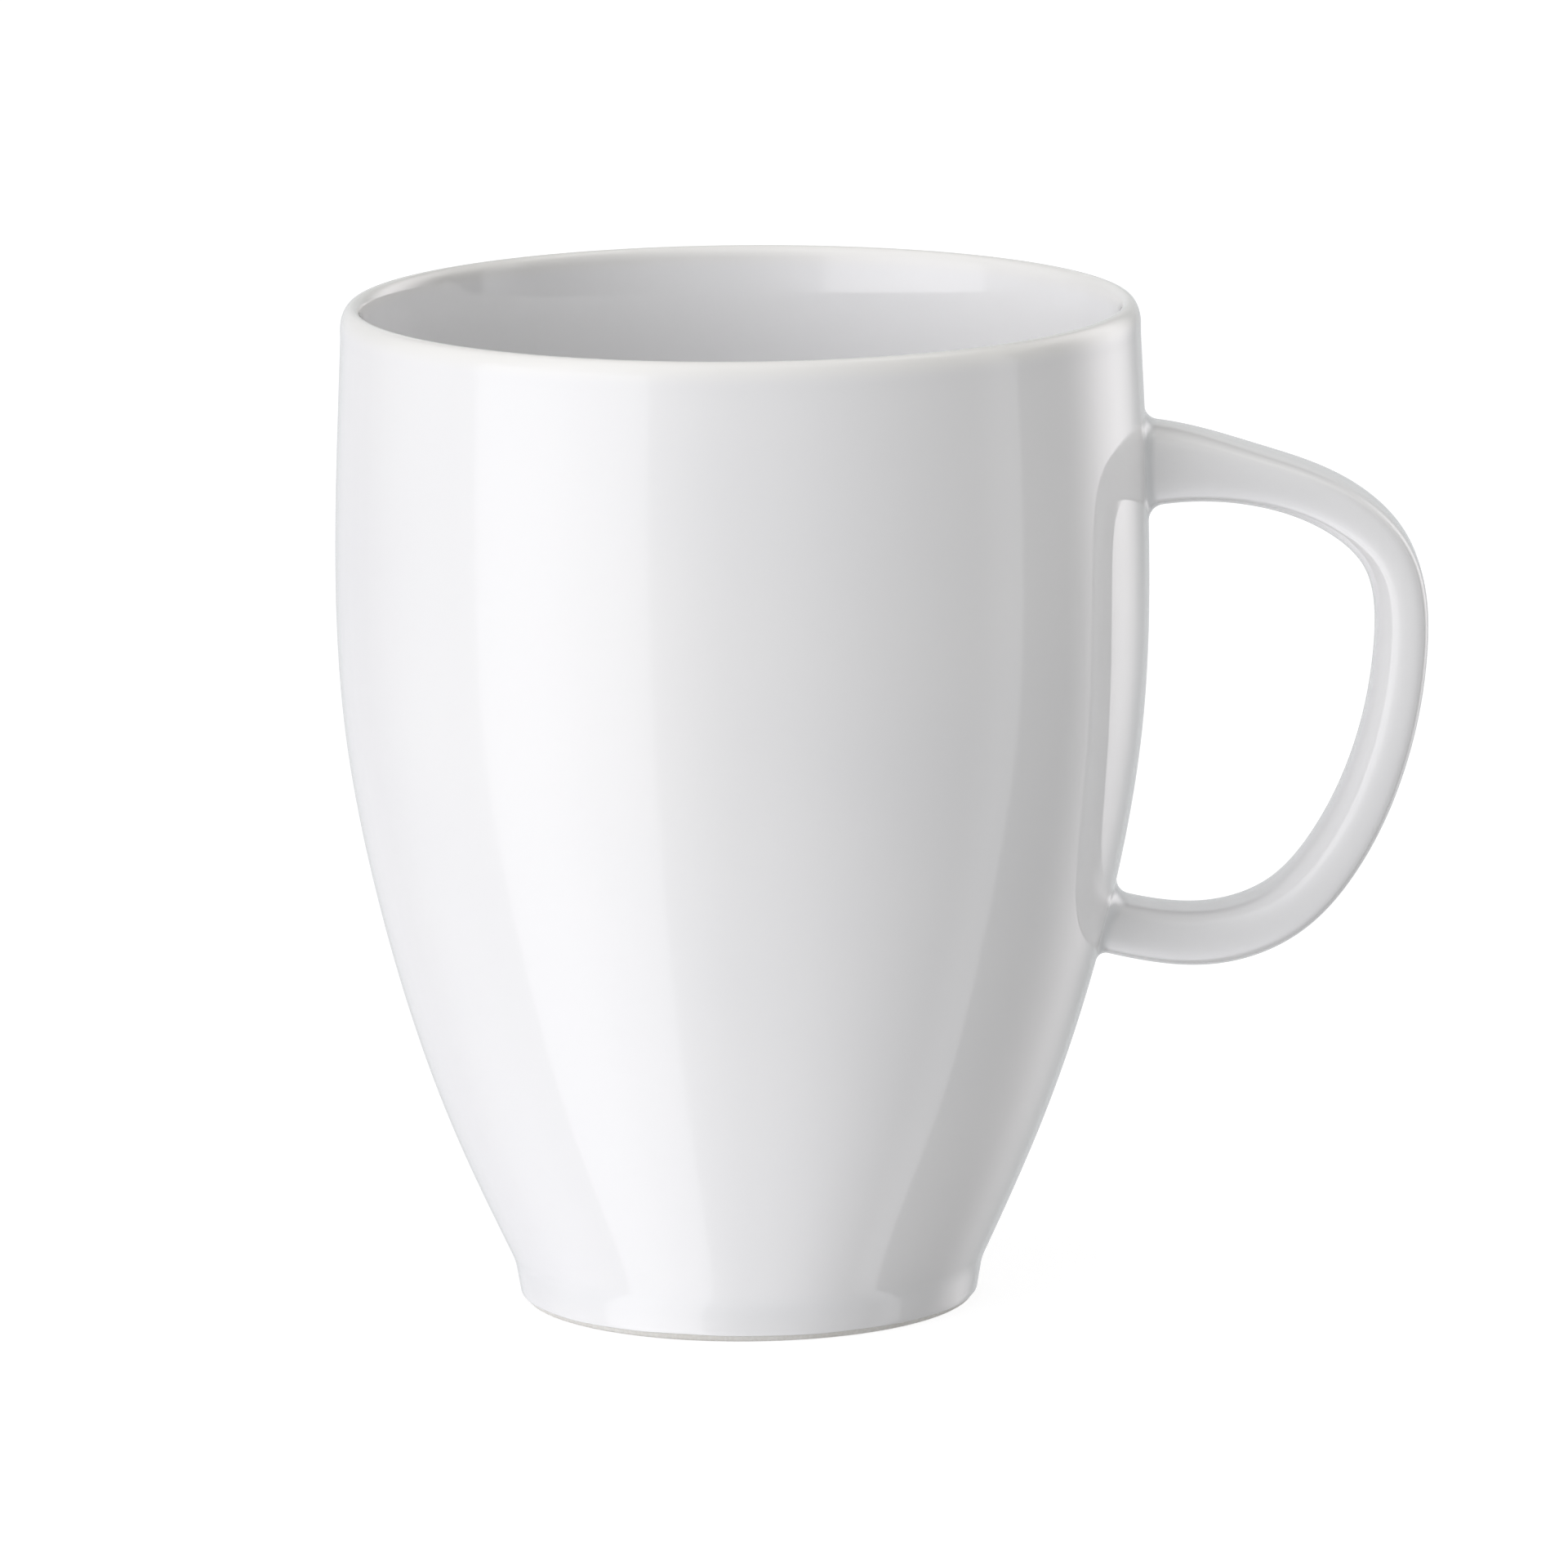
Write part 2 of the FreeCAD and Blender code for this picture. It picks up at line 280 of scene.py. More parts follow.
def outside_path():
    """Glazed outside from the glaze line up to the lip's crest, and where the wall starts in it."""
    bottom = np.array([foot_band_radius(GLAZE_LINE), GLAZE_LINE])
    band = np.array([FOOT_TOP_RADIUS - FOOT_BOTTOM_RADIUS, FOOT_BREAK_HEIGHT])
    wall_start = np.array(WALL[0])
    lean = np.array([WALL_START_SLOPE, 1.0])
    gap = wall_start - bottom
    reach = (gap[0] * lean[1] - gap[1] * lean[0]) / (band[0] * lean[1] - band[1] * lean[0])
    neck = round_corner(bottom, bottom + band * reach, wall_start, NECK_RADIUS, POINTS["neck"])
    wall = wall_curve()
    rows = round(wall.length / WALL_ROW)
    lip = spline([WALL[-1], LIP_OUTER, (LIP_CREST_RADIUS, LIP_TOP)], (WALL_END_SLOPE, 1), (-1, 0))
    band_path = straight(bottom, neck[0], POINTS["foot band"])
    below = chain(band_path, neck, straight(neck[-1], wall_start, POINTS["above neck"]))
    lip_path = lip(np.linspace(0, 1, POINTS["lip outside"]))
    path = chain(below, wall(np.linspace(0, 1, rows + 1)), lip_path)
    return path, len(below) - 1, rows


def inside_path():
    """Glazed inside from the lip's crest down the wall and over the floor to the axis."""
    wall = wall_curve()
    fine = wall(np.linspace(0, 1, FINE_POINTS))
    left = sideways(fine)
    points = []
    for (radius, height), thickness in zip(WALL[1:], WALL_THICKNESS):
        i = np.abs(fine[:, 1] - height).argmin()
        points.append(fine[i] + left[i] * thickness)
    points.reverse()
    down = (-LIP_INNER_SLOPE, -1)
    centre = np.array([FLOOR_FLAT_RADIUS, FLOOR_HEIGHT + FLOOR_CORNER_RADIUS])
    sweep = np.linspace(FLOOR_CORNER_SWEEP, 0, POINTS["floor corner"])
    corner = centre + FLOOR_CORNER_RADIUS * np.c_[np.sin(sweep), -np.cos(sweep)]
    into_corner = (-math.cos(FLOOR_CORNER_SWEEP), -math.sin(FLOOR_CORNER_SWEEP))
    lip = spline([(LIP_CREST_RADIUS, LIP_TOP), LIP_INNER, LIP_INNER_END], (-1, 0), down)
    inner_wall = spline([LIP_INNER_END] + points + [corner[0]], down, into_corner)
    rows = round(inner_wall.length / WALL_ROW)
    floor = straight(corner[-1], (CAP_RADIUS, FLOOR_HEIGHT), POINTS["floor"])
    lip_path = lip(np.linspace(0, 1, POINTS["lip inside"]))
    return chain(lip_path, inner_wall(np.linspace(0, 1, rows + 1)), corner, floor)


def recess_path():
    """Glazed underside from near the axis out over the recess and down to its glaze line."""
    corner = (FOOT_INNER_RADIUS - GLAZE, RECESS_DEPTH)
    bottom = (FOOT_INNER_RADIUS - GLAZE, RECESS_GLAZE_LINE)
    middle = (0, RECESS_DEPTH)
    bend = round_corner(middle, corner, bottom, RECESS_CORNER_RADIUS, POINTS["recess corner"])
    top = straight((CAP_RADIUS, RECESS_DEPTH), bend[0], POINTS["recess top"])
    return chain(top, bend, straight(bend[-1], bottom, POINTS["recess side"]))


# ---- Mesh building ----------------------------------------------------------------------------

class Mesh:
    """Vertices and faces that grow piece by piece, in millimetres."""

    def __init__(self):
        self.blocks = []
        self.pool_shades = []
        self.faces = []
        self.count = 0

    def add(self, points, pooled_shade=0.0):
        """Adds points and returns their indices, in the shape they came in.

        The last argument is how much pooled glaze tint and painted shade each point gets, from 0 to
        1.
        """
        points = np.asarray(points, float)
        flat = points.reshape(-1, 3)
        indices = np.arange(self.count, self.count + len(flat)).reshape(points.shape[:-1])
        self.blocks.append(flat)
        self.pool_shades.append(np.broadcast_to(pooled_shade, points.shape[:-1]).ravel())
        self.count += len(flat)
        return indices

    def strip(self, a, b):
        """Quads from one closed ring of indices to the next."""
        self.faces += np.c_[a, np.roll(a, -1), np.roll(b, -1), b].tolist()

    def grow(self, ring, points, pooled_shade=0.0):
        """Adds a ring of points next to a ring of indices, and returns the new ring's indices."""
        next_ring = self.add(points, pooled_shade)
        self.strip(ring, next_ring)
        return next_ring

    def cap(self, ring, centre, last):
        """Triangles that close the last or the first ring of a piece at one point."""
        middle = int(self.add([centre])[0])
        pairs = zip(ring, np.roll(ring, -1)) if last else zip(np.roll(ring, -1), ring)
        self.faces += [[int(i), int(j), middle] for i, j in pairs]

    def take_inside_out(self, other):
        """Adds another mesh with its faces turned over, and returns the shift of its indices."""
        shift = self.count
        self.add(np.vstack(other.blocks), np.concatenate(other.pool_shades))
        self.faces += [[i + shift for i in face[::-1]] for face in other.faces]
        return shift

    def to_object(self, name, material, slot):
        data = bpy.data.meshes.new(name)
        data.from_pydata((uneven(np.vstack(self.blocks)) * MM).tolist(), [], self.faces)
        data.polygons.foreach_set("use_smooth", [True] * len(data.polygons))
        # Share of pooled glaze tint and painted shade at each point
        pooling_shade = data.attributes.new("pooling_shade", "FLOAT", "POINT")
        pooling_shade.data.foreach_set("value", np.concatenate(self.pool_shades).astype(np.float32))
        data.update()
        data.materials.append(material)
        piece = bpy.data.objects.new(name, data)
        bpy.context.scene.collection.objects.link(piece)
        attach(piece, "root")
        return piece


def uneven(points):
    """Points moved by the few hundredths of a millimetre that casting and firing leave."""
    place = dict(zip("xyz", points.T))
    lift = np.clip((place["z"] - FOOT_BREAK_HEIGHT) / UNEVEN_FROM, 0, 1) * UNEVENNESS

    def sway(waves):
        return sum(strength * np.sin(place[a] / length_a + place[b] / length_b + phase)
                   for strength, a, length_a, b, length_b, phase in waves)

    return points + np.c_[sway(SWAY_X) * lift, sway(SWAY_Y) * lift, 0 * lift]


def turned(path):
    """Points of a surface of revolution, as rows along the path by TURNS round the axis."""
    angle = 2 * math.pi * np.arange(TURNS) / TURNS
    radius, height = path[:, 0][:, None], path[:, 1][:, None]
    return np.stack([radius * np.cos(angle), radius * np.sin(angle), height + 0 * angle], axis=-1)


def wiped_edge(points):
    """Rows of the foot moved up and down a little, because the glaze is wiped off by hand."""
    angle = np.arctan2(points[..., 1], points[..., 0])
    wave = sum(strength * np.sin(count * angle + phase) for strength, count, phase in WIPE_WAVES)
    share = np.clip(1 - (points[..., 2] - GLAZE_LINE) / NECK_RADIUS, 0, 1)
    points[..., 2] += WIPE_RISE * wave * share * share
    return points


def lathe(name, path, first_height, last_height, material, slot):
    """A closed piece turned about Z from a path whose two ends are beside the axis."""
    mesh = Mesh()
    rings = mesh.add(turned(path))
    for a, b in zip(rings, rings[1:]):
        mesh.strip(a, b)
    mesh.cap(rings[0], (0, 0, first_height), False)
    mesh.cap(rings[-1], (0, 0, last_height), True)
    return mesh.to_object(name, material, slot)


# ---- Glazed skin: round body, handle and fillets in one continuous coat -----------------------

def handle_line(inset):
    """A function from 0..1 to rows of centre x, centre z, side x, side z and half thickness."""
    curve = spline(HANDLE, HANDLE_START, HANDLE_END)

    def at(share):
        here, before, after = curve(share), curve(share - ALONG), curve(share + ALONG)
        along = (after - before)[:, :2]
        along /= np.linalg.norm(along, axis=1)[:, None]
        return np.c_[here[:, :2], -along[:, 1], along[:, 0], here[:, 2] / 2 - inset]

    return at


def eased(share, places, values):
    """Values at places along a line, with a smooth change from each to the next."""
    i = np.clip(np.searchsorted(places, share, side="right") - 1, 0, len(places) - 2)
    t = np.clip((share - places[i]) / (places[i + 1] - places[i]), 0, 1)
    return values[i] + (values[i + 1] - values[i]) * t * t * (3 - 2 * t)


def handle_points(share, angle, inset):
    """Points of the handle's surface at shares of its length and angles round its section."""
    share, turn = np.broadcast_arrays(share, angle)
    x, z, side_x, side_z, half = handle_line(inset)(share.ravel()).T
    turn = turn.ravel()
    lean = eased(share.ravel(), HANDLE_LEAN_PLACES, HANDLE_LEAN)
    square = HANDLE_SQUARENESS
    depth = (1 + square) * np.cos(turn) - square * np.cos(3 * turn)
    rise = half * ((1 + square) * np.sin(turn) + square * np.sin(3 * turn))
    rise = rise + half * lean * np.cos(turn) ** 2
    depth = (HANDLE_DEPTH / 2 - inset) * depth
    return np.c_[x + side_x * rise, depth, z + side_z * rise].reshape(share.shape + (3,))


def window_ring(first_row, last_row):
    """Grid places (row, turn) round a window, anticlockwise as seen from +X, from its +Y side."""
    half = WINDOW_HALF_TURNS
    middle = (first_row + last_row) // 2
    right = [(row, half) for row in range(middle, last_row)]
    top = [(last_row, turn) for turn in range(half, -half, -1)]
    left = [(row, -half) for row in range(last_row, first_row, -1)]
    bottom = [(first_row, turn) for turn in range(-half, half)]
    right_again = [(row, half) for row in range(first_row, middle)]
    return np.array(right + top + left + bottom + right_again)


def skin_surface(inset):
    """The glazed surface moved in by inset, as a mesh, with its ring of indices at the foot."""
    mesh = Mesh()
    outside, wall_first, wall_rows = outside_path()
    path = chain(outside, inside_path())
    path = path + sideways(path) * inset
    points = wiped_edge(turned(path))
    from_neck = (points[..., 2] - FOOT_BREAK_HEIGHT) / NECK_POOL_SHADE_REACH
    # Pooled glaze tint and painted shade round the neck
    grid = mesh.add(points, NECK_POOL_SHADE * np.exp(-from_neck ** 2))
    wall_heights = path[wall_first:wall_first + wall_rows, 1]
    fine = wall_curve()(np.linspace(0, 1, FINE_POINTS))
    fine = fine + sideways(fine) * inset

    roots = []
    for root_height, reach, end in ((UPPER_ROOT_HEIGHT, UPPER_FILLET, 0),
                                    (LOWER_ROOT_HEIGHT, LOWER_FILLET, 1)):
        middle = wall_first + int(np.abs(wall_heights - root_height).argmin())
        places = window_ring(middle - WINDOW_HALF_ROWS, middle + WINDOW_HALF_ROWS)
        roots.append(handle_root(mesh, grid, path, fine, places, reach, end, inset))

    open_turns = np.arange(-WINDOW_HALF_TURNS, WINDOW_HALF_TURNS) % TURNS
    for row, (a, b) in enumerate(zip(grid, grid[1:])):
        quads = np.c_[a, np.roll(a, -1), np.roll(b, -1), b]
        if any(r["first_row"] <= row < r["last_row"] for r in roots):
            quads = np.delete(quads, open_turns, axis=0)
        mesh.faces += quads.tolist()
    mesh.cap(grid[-1], (0, 0, FLOOR_HEIGHT - inset), True)

    join_roots(mesh, *roots, inset)
    return mesh, grid[0]


def join_roots(mesh, upper, lower, inset):
    """The handle's rings from its upper root to its lower one.

    The lower root's places run the other way round the section, so they are first put in the
    upper root's order.
    """
    gap = upper["angle"][:, None] - lower["angle"][None, :]
    order = np.abs((gap + math.pi) % (2 * math.pi) - math.pi).argmin(axis=1)
    steps = np.linspace(0, 1, HANDLE_RINGS)[1:-1, None]
    shares = upper["share"] * (1 - steps) + lower["share"][order] * steps
    tube = mesh.add(handle_points(shares, upper["angle"] + 0 * steps, inset))
    rings = [upper["ring"]] + list(tube) + [lower["ring"][order]]
    for a, b in zip(rings, rings[1:]):
        mesh.strip(a, b)


def wall_radius(wall, height):
    """Radius of a wall, given as (radius, height) points, at some heights."""
    return np.interp(height, wall[:, 1], wall[:, 0])


def on_wall(wall, theta, height):
    """Points of the wall at some angles round the axis and heights."""
    radius = wall_radius(wall, height)
    return np.c_[radius * np.cos(theta), radius * np.sin(theta), height]


def section_angles(places, end):
    """The angle round the handle's section that faces each place on a window's edge."""
    first_row, last_row = places[:, 0].min(), places[:, 0].max()
    rise = 2 * (places[:, 0] - first_row) / (last_row - first_row) - 1
    angle = np.arctan2(rise, places[:, 1] / WINDOW_HALF_TURNS)
    return -angle if end else angle


def leaves_wall(wall, angle, end, inset):
    """Share of the handle's length at which each line along its side comes out of the wall."""
    buried, clear = np.full(len(angle), float(end)), np.full(len(angle), 0.5)
    for _ in range(HALVINGS):
        middle = (buried + clear) / 2
        point = handle_points(middle, angle, inset)
        inside = np.hypot(point[:, 0], point[:, 1]) < wall_radius(wall, point[:, 2])
        buried, clear = np.where(inside, middle, buried), np.where(inside, clear, middle)
    return clear


def fillet_on_handle(clear, corner, angle, reach, end, inset):
    """Where the fillet leaves the handle: shares of its length, points and ways to the wall."""
    step = -ALONG_SIDE if end else ALONG_SIDE
    pace = np.linalg.norm(handle_points(clear + step, angle, inset) - corner, axis=1)
    share = clear + step * reach / pace
    start = handle_points(share, angle, inset)
    way = start - handle_points(share + step, angle, inset)
    way /= np.linalg.norm(way, axis=1)[:, None]
    return share, start, way


def fillet_on_wall(wall, corner, reach):
    """Where the fillet meets the wall: angles round the axis, heights and ways off the handle."""
    lean = np.interp(corner[:, 2], wall[:, 1], np.gradient(wall[:, 0], wall[:, 1]))
    normal = np.c_[corner[:, :2] / np.hypot(corner[:, 0], corner[:, 1])[:, None], -lean]
    away = np.cross(np.roll(corner, -1, axis=0) - np.roll(corner, 1, axis=0), normal)
    away /= np.linalg.norm(away, axis=1)[:, None]
    foot = corner + away * reach[:, None]
    return np.arctan2(foot[:, 1], foot[:, 0]), foot[:, 2], away


def handle_root(mesh, grid, path, wall, places, reach, end, inset):
    """Rings from a window's edge in over the wall, then up the fillet to the handle's side.

    end is 0 for the upper end of the handle and 1 for the lower end.
    """
    angle = section_angles(places, end)
    up = np.sin(angle)
    outer, beside, gap = reach
    reach = beside + np.where(up > 0, outer - beside, gap - beside) * up ** 2 + inset
    clear = leaves_wall(wall, angle, end, inset)
    corner = handle_points(clear, angle, inset)
    share, start, start_way = fillet_on_handle(clear, corner, angle, reach, end, inset)
    theta, height, away = fillet_on_wall(wall, corner, reach)
    foot = on_wall(wall, theta, height)

    edge_theta = 2 * math.pi * places[:, 1] / TURNS
    edge_height = path[places[:, 0], 1]
    ring = grid[places[:, 0], places[:, 1] % TURNS]
    for t in np.arange(1, WINDOW_RINGS + 1) / WINDOW_RINGS:
        thetas = edge_theta * (1 - t) + theta * t
        ring = mesh.grow(ring, on_wall(wall, thetas, edge_height * (1 - t) + height * t))

    start_pull = start + start_way * FILLET_FULLNESS * distances(start, corner)
    foot_pull = foot - away * FILLET_FULLNESS * distances(foot, corner)
    for t in np.arange(1, FILLET_RINGS + 1) / FILLET_RINGS:
        fillet = ((1 - t) ** 3 * foot + 3 * (1 - t) ** 2 * t * foot_pull
                  + 3 * (1 - t) * t ** 2 * start_pull + t ** 3 * start)
        # Pooled glaze tint and painted shade in the fillet's crease, strongest at its middle
        ring = mesh.grow(ring, fillet, math.sin(math.pi * t))
    first_row, last_row = places[:, 0].min(), places[:, 0].max()
    return {"ring": ring, "share": share, "angle": angle,
            "first_row": first_row, "last_row": last_row}


def half_round(surface_end, buried_end):
    """The rounded end of a coat of glaze, from its surface round to the clay."""
    middle = (surface_end + buried_end) / 2
    arm = surface_end - middle
    past = np.array([-arm[1], arm[0]])
    turn = np.linspace(0, math.pi, POINTS["glaze edge"])[1:-1]
    return middle + np.outer(np.cos(turn), arm) + np.outer(np.sin(turn), past)


def glazed_skin(material):
    """The coat of glaze over the outside, handle, lip and inside, closed at the foot."""
    mesh, surface_ring = skin_surface(0)
    clay_side, clay_ring = skin_surface(GLAZE)
    shift = mesh.take_inside_out(clay_side)
    path = outside_path()[0]
    clay_path = path + sideways(path) * GLAZE
    ring = clay_ring + shift
    for point in half_round(clay_path[0], path[0]):
        ring = mesh.grow(ring, wiped_edge(turned(point[None, :]))[0])
    mesh.strip(ring, surface_ring)
    piece = mesh.to_object("glazed_skin", material, "white_glaze")
    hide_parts("outer_glaze", "liner_glaze")
    return piece


def underside_coat(material):
    """The glaze in the recess under the foot."""
    surface = recess_path()
    clay = surface + sideways(surface) * GLAZE
    end = half_round(surface[-1], clay[-1])
    path = np.vstack([surface, end, clay[::-1]])
    last = RECESS_DEPTH + GLAZE
    piece = lathe("underside_coat", path, RECESS_DEPTH, last, material, "white_glaze")
    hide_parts("underside_glaze")
    return piece


def clay_cup(material):
    """The cast cup under the glaze, which shows only as the bare ring it stands on."""
    outside, inside, recess = outside_path()[0], inside_path(), recess_path()
    covered = chain(outside, inside)
    covered = covered + sideways(covered) * GLAZE
    recess = recess + sideways(recess) * GLAZE
    outer_corner = (foot_band_radius(0) - GLAZE, 0)
    inner_corner = (FOOT_INNER_RADIUS, 0)
    inner = round_corner(recess[-1], inner_corner, outer_corner, FOOT_INNER_EDGE_RADIUS,
                         POINTS["ring inner edge"])
    outer = round_corner(inner_corner, outer_corner, covered[0], FOOT_EDGE_RADIUS,
                         POINTS["ring outer edge"])
    ring = straight(inner[-1], outer[0], POINTS["ring"])
    path = chain(recess, inner, ring, outer, covered)
    last = FLOOR_HEIGHT - GLAZE
    piece = lathe("clay_cup", path, RECESS_DEPTH + GLAZE, last, material, "porcelain_biscuit")
    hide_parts("porcelain_body")
    return piece


# ---- Materials --------------------------------------------------------------------------------

class Nodes:
    """A short way to add shader nodes and link them up."""

    def __init__(self, tree):
        self.tree = tree

    def add(self, kind, inputs=None, **settings):
        """Adds a node. An input is a value, or another node's output that feeds it."""
        node = self.tree.nodes.new(kind)
        for name, value in settings.items():
            setattr(node, name, value)
        for name, value in (inputs or {}).items():
            if isinstance(value, bpy.types.NodeSocket):
                self.tree.links.new(value, node.inputs[name])
            else:
                node.inputs[name].default_value = value
        return node

    def math(self, operation, *values):
        return self.add("ShaderNodeMath", dict(enumerate(values)), operation=operation).outputs[0]

    def vector(self, operation, inputs):
        return self.add("ShaderNodeVectorMath", inputs, operation=operation).outputs[0]

    def ramp(self, value, low, high, to_low=0.0, to_high=1.0):
        """Value taken smoothly from low..high to to_low..to_high."""
        inputs = {"Value": value, "From Min": low, "From Max": high,
                  "To Min": to_low, "To Max": to_high}
        node = self.add("ShaderNodeMapRange", inputs, interpolation_type="SMOOTHSTEP")
        return node.outputs["Result"]

    def mix(self, share, a, b):
        """Colour a turning into colour b as share goes from 0 to 1."""
        node = self.add("ShaderNodeMix", data_type="RGBA")
        for socket, value in zip((0, 6, 7), (share, a, b)):
            if isinstance(value, bpy.types.NodeSocket):
                self.tree.links.new(value, node.inputs[socket])
            else:
                node.inputs[socket].default_value = value
        return node.outputs[2]

    def noise(self, place, scale, detail=2.0):
        inputs = {"Vector": place, "Scale": scale, "Detail": detail}
        return self.add("ShaderNodeTexNoise", inputs).outputs["Fac"]

    def bump(self, height, depth, below=None):
        """Surface relief of a depth in metres, over the relief of another bump node."""
        inputs = {"Height": height, "Strength": 1.0, "Distance": depth}
        if below is not None:
            inputs["Normal"] = below
        return self.add("ShaderNodeBump", inputs).outputs["Normal"]


def new_material(name):
    """An empty Principled material: the material, its nodes, its shader and object coordinates."""
    material = bpy.data.materials.new(name)
    material.use_nodes = True
    nodes = Nodes(material.node_tree)
    shader = material.node_tree.nodes["Principled BSDF"]
    place = nodes.add("ShaderNodeTexCoord").outputs["Object"]
    return material, nodes, shader, place


def white_glaze():
    """Clear glossy glaze on white porcelain.

    It is thin and warm over the lip, and thicker and cooler where it pools in the fillets of the
    handle and round the foot, where it also carries painted shade that makes it a little darker.
    """
    material, nodes, shader, place = new_material("white_glaze")
    height = nodes.add("ShaderNodeSeparateXYZ", {0: place}).outputs["Z"]
    clouds = nodes.ramp(nodes.noise(place, CLOUD_SCALE), 0.3, 0.7)
    white = nodes.mix(clouds, *GLAZE_WHITES)
    lip = nodes.ramp(height, *((LIP_TOP - depth) * MM for depth in LIP_TINT))
    white = nodes.mix(lip, white, GLAZE_OVER_LIP)
    # Pooled glaze tint with painted shade in the fillets and round the neck
    pooling_shade = nodes.add("ShaderNodeAttribute", attribute_name="pooling_shade").outputs["Fac"]
    pool_shade_patches = nodes.ramp(nodes.noise(place, POOL_SCALE), 0.2, 0.8, 0.6, 1.0)
    white = nodes.mix(nodes.math("MULTIPLY", pooling_shade, pool_shade_patches), white, GLAZE_POOLED_SHADE)
    nodes.tree.links.new(white, shader.inputs["Base Color"])

    matt = nodes.ramp(nodes.noise(place, MATT_SCALE, 4.0), 0.25, 0.75, *GLAZE_ROUGHNESS)
    nodes.tree.links.new(matt, shader.inputs["Roughness"])
    waves = nodes.bump(nodes.noise(place, WAVE_SCALE, 1.0), WAVE_DEPTH)
    peel = nodes.bump(nodes.noise(place, PEEL_SCALE), PEEL_DEPTH, waves)
    nodes.tree.links.new(peel, shader.inputs["Normal"])
    shader.inputs["IOR"].default_value = GLAZE_IOR
    return material


def bare_clay(name, light, dark, roughness, ring_depth=0.0):
    """Unglazed porcelain: matt, with a fine grain and, where it was ground flat, faint rings."""
    material, nodes, shader, place = new_material(name)
    grain = nodes.noise(place, GRAIN_SCALE, 3.0)
    cloud = nodes.noise(place, CLAY_CLOUD_SCALE, 4.0)
    grain_part = nodes.math("MULTIPLY", grain, GRAIN_SHARE)
    mixed = nodes.math("ADD", grain_part, nodes.math("MULTIPLY", cloud, 1 - GRAIN_SHARE))
    colour = nodes.mix(nodes.ramp(mixed, 0.35, 0.65), dark, light)
    nodes.tree.links.new(colour, shader.inputs["Base Color"])
    rough = nodes.ramp(cloud, 0.3, 0.7, roughness - ROUGHNESS_SPREAD, roughness + ROUGHNESS_SPREAD)
    nodes.tree.links.new(rough, shader.inputs["Roughness"])
    relief = nodes.bump(grain, GRAIN_DEPTH)
    if ring_depth:
        inputs = {"Vector": place, "Scale": GRINDING_SCALE, "Distortion": 1.5, "Detail": 2.0}
        rings = nodes.add("ShaderNodeTexWave", inputs, wave_type="RINGS", rings_direction="Z")
        relief = nodes.bump(rings.outputs["Fac"], ring_depth, relief)
    nodes.tree.links.new(relief, shader.inputs["Normal"])
    return material


# ---- The mug ----------------------------------------------------------------------------------

glaze = white_glaze()
biscuit = bare_clay("porcelain_biscuit", *BISCUIT_COLOURS, BISCUIT_ROUGHNESS, GRINDING_DEPTH)
slip = bare_clay("fired_slip", *SLIP_COLOURS, SLIP_ROUGHNESS)

glazed_skin(glaze)
underside_coat(glaze)
clay_cup(biscuit)
carried_over = {"porcelain_handle": biscuit, "upper_slip_joint": slip, "lower_slip_joint": slip}
for node, material in carried_over.items():
    inner_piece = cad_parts[node]
    inner_piece.data.materials.clear()
    inner_piece.data.materials.append(material)


# ---- Studio -----------------------------------------------------------------------------------

def stretch(nodes, angle, start, end, fades):
    """1 between two angles in degrees and 0 outside them, with a fade across each."""
    edges = ((start, fades[0] / 2), (end, fades[1] / 2))
    rise, fall = ([math.radians(edge - half), math.radians(edge + half)] for edge, half in edges)
    falling = nodes.ramp(angle, *fall, to_low=1.0, to_high=0.0)
    return nodes.math("MULTIPLY", nodes.ramp(angle, *rise), falling)


def studio_world():
    """A world of soft lights, plain white where it is looked at directly."""
    world = bpy.data.worlds.new("studio")
    world.use_nodes = True
    nodes = Nodes(world.node_tree)
    direction = nodes.add("ShaderNodeTexCoord").outputs["Generated"]
    x, y, z = nodes.add("ShaderNodeSeparateXYZ", {0: direction}).outputs
    azimuth = nodes.math("ARCTAN2", x, nodes.math("MULTIPLY", y, -1.0))
    elevation = nodes.math("ARCSINE", z)
    total = None
    for (left, right), side_fades, (bottom, top), height_fades, colour in SOFT_LIGHTS.values():
        centre = (left + right) / 2
        turn = nodes.math("SUBTRACT", azimuth, math.radians(centre))
        aside = nodes.math("WRAP", turn, math.pi, -math.pi)
        across = stretch(nodes, aside, left - centre, right - centre, side_fades)
        upright = stretch(nodes, elevation, bottom, top, height_fades)
        light = nodes.math("MULTIPLY", across, upright)
        shine = nodes.vector("SCALE", {0: colour, "Scale": light})
        total = shine if total is None else nodes.vector("ADD", {0: total, 1: shine})
    seen = nodes.add("ShaderNodeLightPath").outputs["Is Camera Ray"]
    background = nodes.tree.nodes["Background"].inputs["Color"]
    nodes.tree.links.new(nodes.mix(seen, total, WHITE), background)
    return world


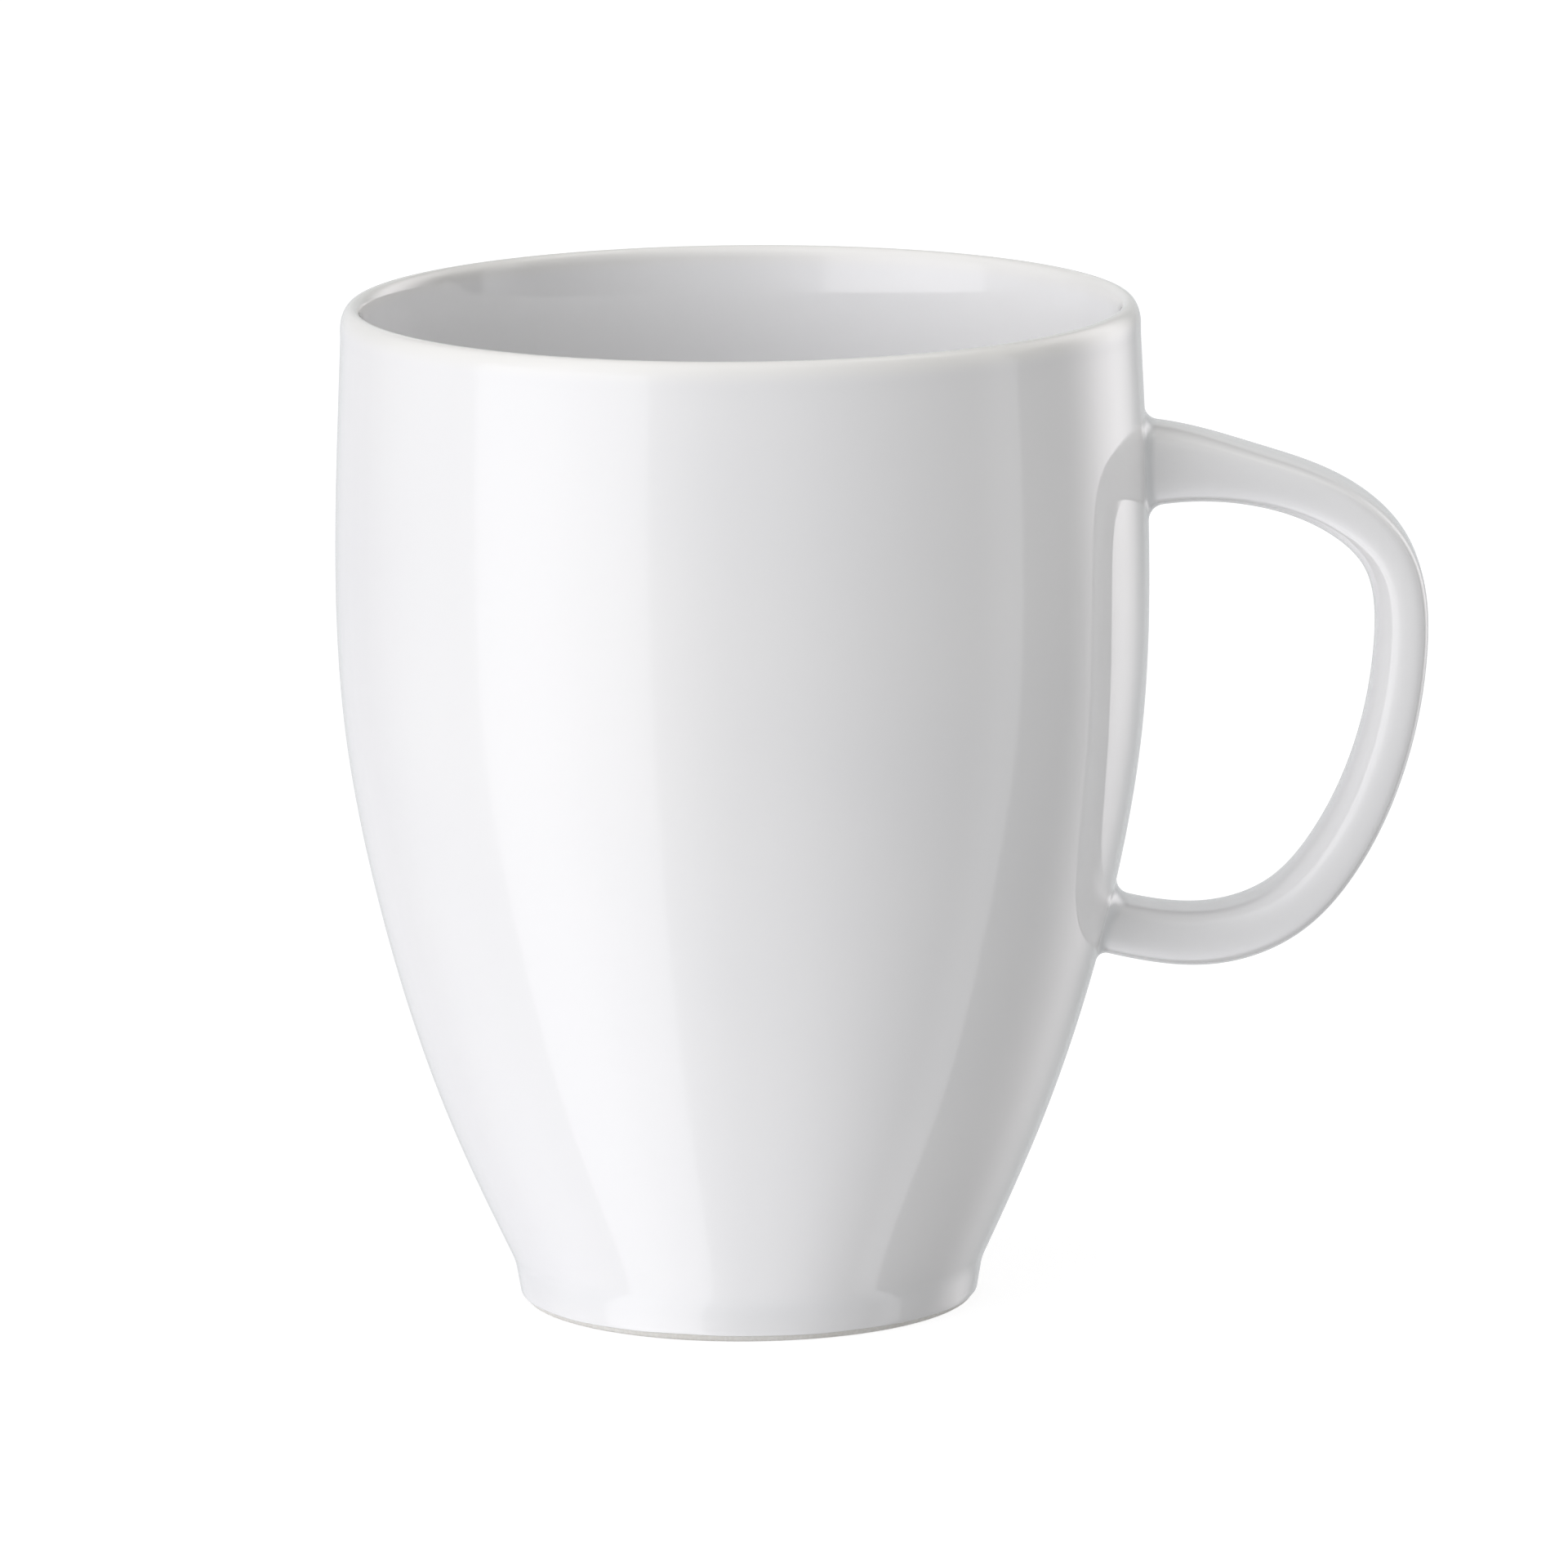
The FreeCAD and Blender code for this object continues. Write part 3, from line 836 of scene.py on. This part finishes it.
def floor_sheet(name, height, albedo, glow):
    """A plain pale sheet that can't be seen from below, so that the foot can."""
    material = bpy.data.materials.new(name)
    material.use_nodes = True
    nodes = Nodes(material.node_tree)
    material.node_tree.nodes.clear()
    pale = nodes.add("ShaderNodeBsdfDiffuse", {"Color": (albedo, albedo, albedo, 1)}).outputs[0]
    light = nodes.add("ShaderNodeEmission", {"Color": WHITE, "Strength": glow}).outputs[0]
    top = nodes.add("ShaderNodeAddShader", {0: pale, 1: light}).outputs[0]
    clear = nodes.add("ShaderNodeBsdfTransparent").outputs[0]
    below = nodes.add("ShaderNodeNewGeometry").outputs["Backfacing"]
    sheet = nodes.add("ShaderNodeMixShader", {0: below, 1: top, 2: clear}).outputs[0]
    nodes.add("ShaderNodeOutputMaterial", {"Surface": sheet})
    side = FLOOR_SIZE / 2
    corners = [(x * side, y * side, height) for x, y in ((-1, -1), (1, -1), (1, 1), (-1, 1))]
    data = bpy.data.meshes.new(name)
    data.from_pydata(corners, [], [(0, 1, 2, 3)])
    data.materials.append(material)
    floor = bpy.data.objects.new(name, data)
    bpy.context.scene.collection.objects.link(floor)
    floor.visible_glossy = False
    return floor


def photographer():
    """The camera: a long lens in front of the mug, a little above it, pointed at its middle."""
    data = bpy.data.cameras.new("camera")
    data.sensor_width = SENSOR_WIDTH
    data.lens = LENS
    camera = bpy.data.objects.new("camera", data)
    bpy.context.scene.collection.objects.link(camera)
    aside, ahead = math.sin(PAN), math.cos(PAN)
    forward = Vector((aside * math.cos(TILT), ahead * math.cos(TILT), -math.sin(TILT)))
    level = Vector((ahead, -aside, 0))
    above = level.cross(forward)
    right = level * math.cos(ROLL) + above * math.sin(ROLL)
    up = above * math.cos(ROLL) - level * math.sin(ROLL)
    turn = Matrix((right, up, -forward)).transposed()
    camera.matrix_world = Matrix.Translation(CAMERA_PLACE) @ turn.to_4x4()
    bpy.context.scene.camera = camera


bpy.context.scene.world = studio_world()
seen_floor = floor_sheet("floor", **SEEN_FLOOR)
seen_floor.visible_diffuse = False
seen_floor.visible_shadow = False
light_floor = floor_sheet("floor_bounce", **BOUNCE_FLOOR)
light_floor.visible_camera = False
photographer()
bpy.context.scene.view_settings.view_transform = "Standard"
